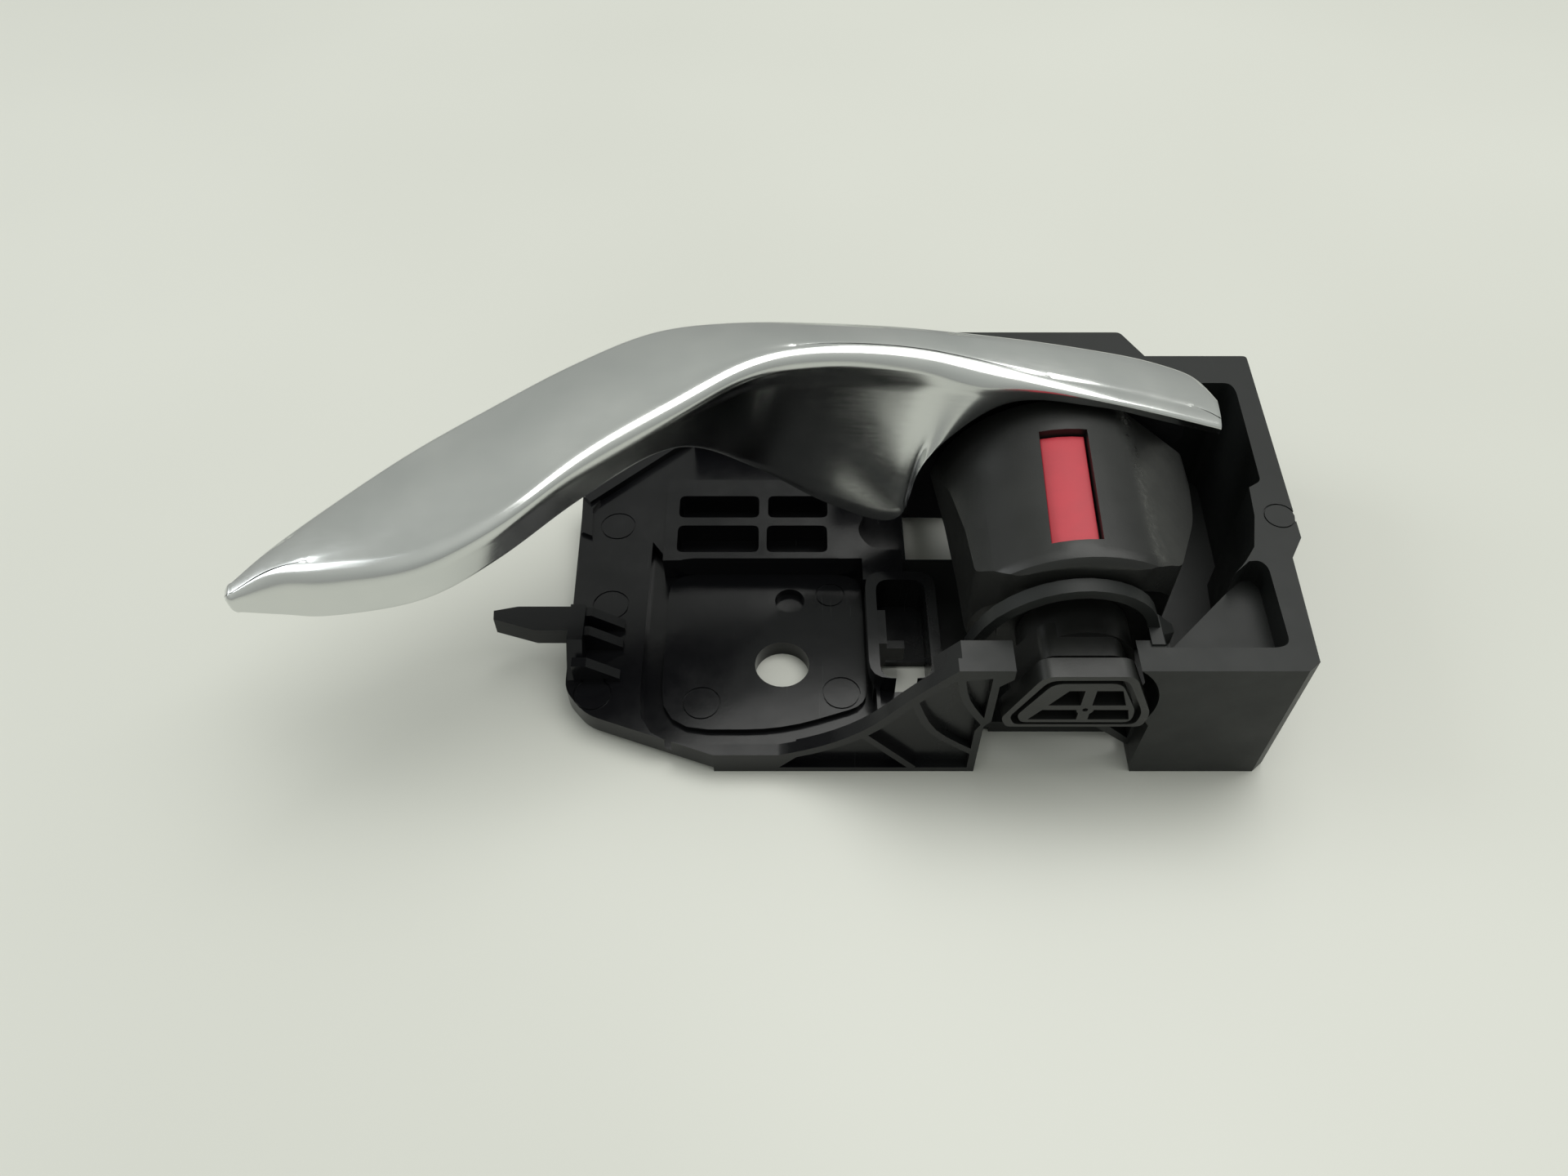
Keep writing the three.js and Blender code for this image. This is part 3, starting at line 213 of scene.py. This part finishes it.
def painted_red():
    """The red window of the knob: matt, with fine grain and a few dark specks."""
    look = Look("indicator_red")
    drift = look.ramp(look.noise(5, 3), 0.3, 0.7)
    dust = look.ramp(look.noise(0.45, 2, 0.7), 0.66, 0.74)
    base = look.mix(drift, (0.41, 0.021, 0.037), (0.47, 0.03, 0.047))
    base = look.mix(look.maths("MULTIPLY", dust, 0.35), base, (0.3, 0.03, 0.04))
    normal = look.bump(look.noise(0.3, 3, 0.6), 0.012, 0.5)
    look.set(Base_Color=base, Roughness=look.ramp(drift, 0, 1, 0.42, 0.52), Normal=normal)
    return look.material


def metal(name, colour, gloss):
    """Drawn or turned metal: fine lines along it and a few darker stains."""
    look = Look(name)
    lines = look.noise(0.35, 3, 0.6, look.stretched((1, 0.08, 1)))
    stain = look.ramp(look.noise(6, 4, 0.6), 0.4, 0.7)
    base = look.mix(stain, colour, tuple(0.72 * c for c in colour))
    rough = look.ramp(lines, 0.3, 0.7, gloss - 0.05, gloss + 0.07)
    look.set(Base_Color=base, Roughness=rough, Normal=look.bump(lines, 0.006, 0.4), Metallic=1.0)
    return look.material


CARRIER = ((0.005, 0.005, 0.006), (0.008, 0.008, 0.009))
BUSH = ((0.55, 0.52, 0.43), (0.62, 0.59, 0.5))
RUBBER = ((0.008, 0.008, 0.008), (0.014, 0.014, 0.014))
LOOKS = {
    "housing_plastic": housing_plastic(),
    "satin_chrome": satin_chrome(),
    "carrier_plastic": moulded("carrier_plastic", *CARRIER, gloss=0.36, grain=0.3, grain_size=0.4),
    "knob_plastic": knob_plastic(),
    "indicator_red": painted_red(),
    "steel": metal("steel", (0.42, 0.42, 0.42), 0.3),
    "bush_plastic": moulded("bush_plastic", *BUSH, gloss=0.5, grain=0.3, grain_size=0.4, level=0.4),
    "rubber": moulded("rubber", *RUBBER, gloss=0.7, grain=0.5, grain_size=0.3, level=0.3),
}
SLOT_BY_NODE = {entry["node"]: entry["material_slot"] for entry in frame["record"]["subparts"]}


# ---------------------------------------------------------------- shapes

EDGE_ANGLE = 28  # degrees; edges sharper than this are rounded


def soften(piece, width):
    """Small even radii along a moulded piece's edges, as a tool leaves them."""
    weld = piece.modifiers.new("weld", "WELD")
    weld.merge_threshold = 0.004 * MM
    flat = piece.modifiers.new("flat", "DECIMATE")
    flat.decimate_type = "DISSOLVE"
    flat.angle_limit = math.radians(0.4)
    bevel = piece.modifiers.new("edges", "BEVEL")
    bevel.width = width * MM
    bevel.segments = 2
    bevel.limit_method = "ANGLE"
    bevel.angle_limit = math.radians(EDGE_ANGLE)
    bevel.miter_outer = "MITER_ARC"
    bevel.harden_normals = False
    smooth(piece)


def smooth(piece):
    for face in piece.data.polygons:
        face.use_smooth = True
    normals = piece.modifiers.new("normals", "WEIGHTED_NORMAL")
    normals.keep_sharp = True
    normals.weight = 60


# The lever's four rails as in the model, in millimetres from the pivot axis and the housing's front face.
RAILS = {
    "skirt": [
        (-124.4, 11.2, 32.2), (-119.8, 15.8, 32.4), (-112, 22.3, 32.8), (-101, 31.2, 34),
        (-89.6, 39.1, 36), (-77.8, 46.7, 37.6), (-65.4, 52.8, 38.6), (-52.5, 54, 38),
        (-39.6, 53.4, 36), (-26.7, 53, 35), (-16, 52.7, 35), (-6, 52.8, 35), (4, 53, 35),
        (14, 53.2, 34.6), (25.2, 52.4, 33.6),
    ],
    "back": [
        (-124.5, 11, 35.4), (-120, 15.6, 37.2), (-112.3, 22.1, 39.3), (-101.3, 31, 41.7),
        (-89.8, 38.9, 43.7), (-77.9, 46.5, 45.6), (-65.4, 52.6, 47.1), (-52.5, 53.8, 48),
        (-39.6, 53.2, 48.4), (-26.7, 52.8, 48), (-16, 52.5, 47), (-6, 52.6, 45.5), (4, 52.8, 43.5),
        (14, 53, 41), (25.3, 52.2, 37.4),
    ],
    "crease": [
        (-123.6, 7.8, 35.6), (-117.5, 9.2, 38.2), (-108.8, 8.3, 40), (-96.5, 8.2, 42.2),
        (-84.5, 13.6, 44.8), (-73, 24.2, 47), (-60, 33.2, 49), (-48.5, 40.8, 50.3),
        (-37, 43.3, 50.5), (-25, 44, 49.2), (-15.5, 43, 47.4), (-6, 41.3, 45.4), (4, 40.8, 43.4),
        (14, 40.8, 40.6), (24.9, 41, 37.2),
    ],
    "wall": [
        (-123.4, 7.8, 32), (-117.5, 8, 31.2), (-110, 7, 32.2), (-96.5, 8.4, 34.2),
        (-86, 14.4, 36.4), (-74.3, 23.6, 39.6), (-61, 32.6, 41), (-49.5, 40.6, 28),
        (-37.5, 41.2, 18.6), (-25.6, 37.2, 18.6), (-22, 38, 32.6), (-10, 42.4, 40.8),
        (3.6, 41.2, 41.3), (14, 41.2, 38.5), (24.9, 41.2, 35.2),
    ],
}
WALL = 1.9
NOSE = 1.5  # how far the rounded nose stands past the blade's tip
NOSE_WAY = np.array((-0.906, -0.423, 0))
NOSE_SIZES = (0.12, 0.35, 0.55, 0.72, 0.85, 0.94, 0.985)
END_CORNER = 4.5  # rounding of the right end's back corner
SCOOP = 0.09  # hollow of the deep front wall, as a share of its height above 8 mm
CROWN = 0.02  # rise of the top face's middle, as a share of its width
ROWS = 260
EVEN_REACH = 8  # rows to each side over which the surface is evened


def along_rail(points, t):
    """A point on a smooth curve through the rail's points, at t from 0 to 1."""
    points = np.array(points, float)
    padded = np.vstack([2 * points[0] - points[1], points, 2 * points[-1] - points[-2]])
    span = min(int(t * (len(points) - 1)), len(points) - 2)
    u = t * (len(points) - 1) - span
    a, b, c, d = padded[span:span + 4]
    square = 2 * a - 5 * b + 4 * c - d
    cube = 3 * b - a - 3 * c + d
    return 0.5 * (2 * b + (c - a) * u + square * u ** 2 + cube * u ** 3)


def bend(corner, before, after, radius, count):
    """Points round a corner of the section."""
    share = [min(0.45, radius / max(0.01, np.linalg.norm(corner - other))) for other in (before, after)]
    start = corner + (before - corner) * share[0]
    end = corner + (after - corner) * share[1]
    steps = np.linspace(0, 1, count)
    return [(1 - u) ** 2 * start + 2 * u * (1 - u) * corner + u * u * end for u in steps]


def lever_section(t, inset, size=1.0):
    """Points across the lever at t: up the skirt, over the top, round the crease, down the wall."""
    corners = [along_rail(RAILS[name], t) for name in ("skirt", "back", "crease", "wall")]
    middle = sum(corners) / 4
    out = NOSE_WAY * NOSE * math.sqrt(1 - size * size)
    s, b, c, w = [middle + (p - middle) * size + out for p in corners]
    past = max(0.0, b[0] - (RAILS["back"][-1][0] - END_CORNER))
    rounding = END_CORNER - math.sqrt(max(0.0, END_CORNER ** 2 - past ** 2))
    s[1] -= rounding
    b[1] -= rounding
    side = min(inset, (b[1] - c[1]) * 0.32)
    top = min(inset, (c[2] - w[2]) * 0.45)
    s[1] -= side
    b += (0, -side, -top)
    c += (0, side, -top)
    w[1] += side
    face = []
    for u in np.linspace(0, 1, 12)[1:-1]:
        point = b + (c - b) * (0.08 + 0.72 * u)
        point[2] += 4 * u * (1 - u) * np.linalg.norm(b - c) * CROWN
        face.append(point)
    front = []
    depth = max(0.0, c[2] - w[2] - 8) * SCOOP
    low = min(0.45, 3 / max(0.01, np.linalg.norm(c - w)))
    for u in np.linspace(low, 1, 14)[1:]:
        point = c + (w - c) * u
        point[1] += (1 - (1 - u) ** 2) * depth
        point[2] -= u * u * depth * 0.8
        front.append(point)
    skirt = [s + (b - s) * u for u in (0, 0.25, 0.5)]
    return [*skirt, *bend(b, s, c, 1.3, 7), *face, *bend(c, b, w, 3, 12), *front]


def lever_surface(inset):
    """Rows of sections along the lever, evened out lengthwise, with the nose's smaller rows before them."""
    body = np.array([lever_section(t, inset) for t in np.linspace(0, 1, ROWS)])
    weights = np.exp(-0.5 * (np.arange(-EVEN_REACH, EVEN_REACH + 1) / (EVEN_REACH / 3)) ** 2)
    before = 2 * body[:1] - body[EVEN_REACH:0:-1]
    after = 2 * body[-1:] - body[-2:-EVEN_REACH - 2:-1]
    padded = np.vstack([before, body, after])
    even = sum(w * padded[i:i + ROWS] for i, w in enumerate(weights)) / weights.sum()
    nose = np.array([lever_section(0, inset, size) for size in NOSE_SIZES])
    return np.vstack([nose, even])


def lever_cover():
    """The chromed shell, lofted far finer than the model's so that its reflections run smoothly."""
    outer = lever_surface(0)
    inner = lever_surface(WALL)
    rings = np.concatenate([outer, inner[:, ::-1]], axis=1)
    rows, columns = rings.shape[:2]
    shift = np.array([PIVOT_X / MM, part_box("housing")[1][1] / MM - HOUSING_BACK, 0])
    shift += (0.005, 0, -0.03)  # keeps the finer loft inside the model's box
    points = (rings.reshape(-1, 3) + shift) * MM
    quads = []
    for i in range(rows - 1):
        near, far = i * columns, (i + 1) * columns
        for k in range(columns):
            following = (k + 1) % columns
            quads.append((near + k, near + following, far + following, far + k))
    half = columns // 2
    for i, flip in ((0, True), (rows - 1, False)):
        start, end = i * columns, (i + 1) * columns - 1
        for k in range(half - 1):
            cap = (start + k, start + k + 1, end - 1 - k, end - k)
            quads.append(cap[::-1] if flip else cap)
    mesh = bpy.data.meshes.new("lever_shell")
    mesh.from_pydata([tuple(p) for p in points], [], quads)
    mesh.validate()
    mesh.update()
    piece = bpy.data.objects.new("lever_shell", mesh)
    bpy.context.scene.collection.objects.link(piece)
    mesh.materials.append(LOOKS["satin_chrome"])
    for face in mesh.polygons:
        face.use_smooth = True
    edges = piece.modifiers.new("edges", "BEVEL")
    edges.width = 0.3 * MM
    edges.segments = 2
    edges.limit_method = "ANGLE"
    edges.angle_limit = math.radians(50)
    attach(piece, "pull_lever")
    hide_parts("lever_cover")


for node, slot in SLOT_BY_NODE.items():
    piece = NODES[node]
    piece.data.materials.clear()
    piece.data.materials.append(LOOKS[slot])

EDGE_RADII = {
    "housing": 0.28,
    "lock_knob": 0.5,
    "lock_indicator": 0.15,
    "lock_shaft": 0.25,
    "lock_crank": 0.2,
    "lever_carrier": 0.2,
    "lever_cable_arm": 0.2,
    "pin_clip": 0.1,
    "knob_detent_spring": 0.1,
    "lever_rest_pad": 0.2,
    "lever_stop_bumper": 0.2,
    "knob_stop_bumper": 0.2,
}
for node, radius in EDGE_RADII.items():
    soften(NODES[node], radius)
lever_cover()
for node in SLOT_BY_NODE:
    if node not in EDGE_RADII and node != "lever_cover":
        smooth(NODES[node])


# ---------------------------------------------------------------- floor, light and camera

FLOOR_HALF = 1.6
CEILING_SIZE = (0.9, 0.7)
WINDOW_SIZE = (0.5, 0.5)


def floor():
    """A plain pale table top with a slow change of tone."""
    h = FLOOR_HALF
    mesh = bpy.data.meshes.new("floor")
    mesh.from_pydata([(-h, -h, 0), (h, -h, 0), (h, h, 0), (-h, h, 0)], [], [(0, 1, 2, 3)])
    sheet = bpy.data.objects.new("floor", mesh)
    bpy.context.scene.collection.objects.link(sheet)
    look = Look("floor")
    drift = look.ramp(look.noise(180, 2), 0.3, 0.7)
    tone = look.mix(drift, (0.60, 0.605, 0.56), (0.64, 0.645, 0.60))
    look.set(Base_Color=tone, Roughness=0.35, Specular_IOR_Level=0.35)
    mesh.materials.append(look.material)


def area(name, place, aim, size, power, colour):
    """A soft rectangular lamp at a place, turned to what it lights."""
    light = bpy.data.lights.new(name, "AREA")
    light.shape = "RECTANGLE"
    light.size, light.size_y = size
    light.energy = power
    light.color = colour
    lamp = bpy.data.objects.new(name, light)
    bpy.context.scene.collection.objects.link(lamp)
    lamp.location = place
    lamp.rotation_euler = (Vector(aim) - Vector(place)).to_track_quat("-Z", "Y").to_euler()


def world():
    """A pale room: light ceiling, greyer walls."""
    place = bpy.data.worlds.new("room")
    bpy.context.scene.world = place
    place.use_nodes = True
    tree = place.node_tree
    way = add(tree, "ShaderNodeTexCoord").outputs["Generated"]
    up = add(tree, "ShaderNodeSeparateXYZ", Vector=way).outputs["Z"]
    ramp = add(tree, "ShaderNodeValToRGB", Fac=up)
    below, above = ramp.color_ramp.elements
    below.color = (0.36, 0.37, 0.35, 1)
    above.color = (0.62, 0.64, 0.6, 1)
    middle = ramp.color_ramp.elements.new(0.45)
    middle.color = (0.45, 0.47, 0.44, 1)
    tree.links.new(ramp.outputs["Color"], tree.nodes["Background"].inputs["Color"])
    tree.nodes["Background"].inputs["Strength"].default_value = 1.0


def camera():
    """In front of the handle and above it, looking down at it, as in the photograph."""
    lens = bpy.data.cameras.new("camera")
    lens.sensor_width = 36
    lens.lens = 28.125
    lens.clip_start = 0.005
    eye = bpy.data.objects.new("camera", lens)
    bpy.context.scene.collection.objects.link(eye)
    eye.location = (-0.00083, -0.13743, 0.17279)
    eye.rotation_euler = (math.radians(38.7), 0, 0)
    bpy.context.scene.camera = eye


floor()
world()
area("ceiling", (0.25, 0.25, 0.9), (0, 0, 0), CEILING_SIZE, 6.0, (1.0, 1.0, 0.97))
area("window", (-0.9, 0.2, 0.6), (0, 0, 0.02), WINDOW_SIZE, 2.5, (0.95, 0.98, 1.0))
camera()
bpy.context.scene.view_settings.view_transform = "Standard"
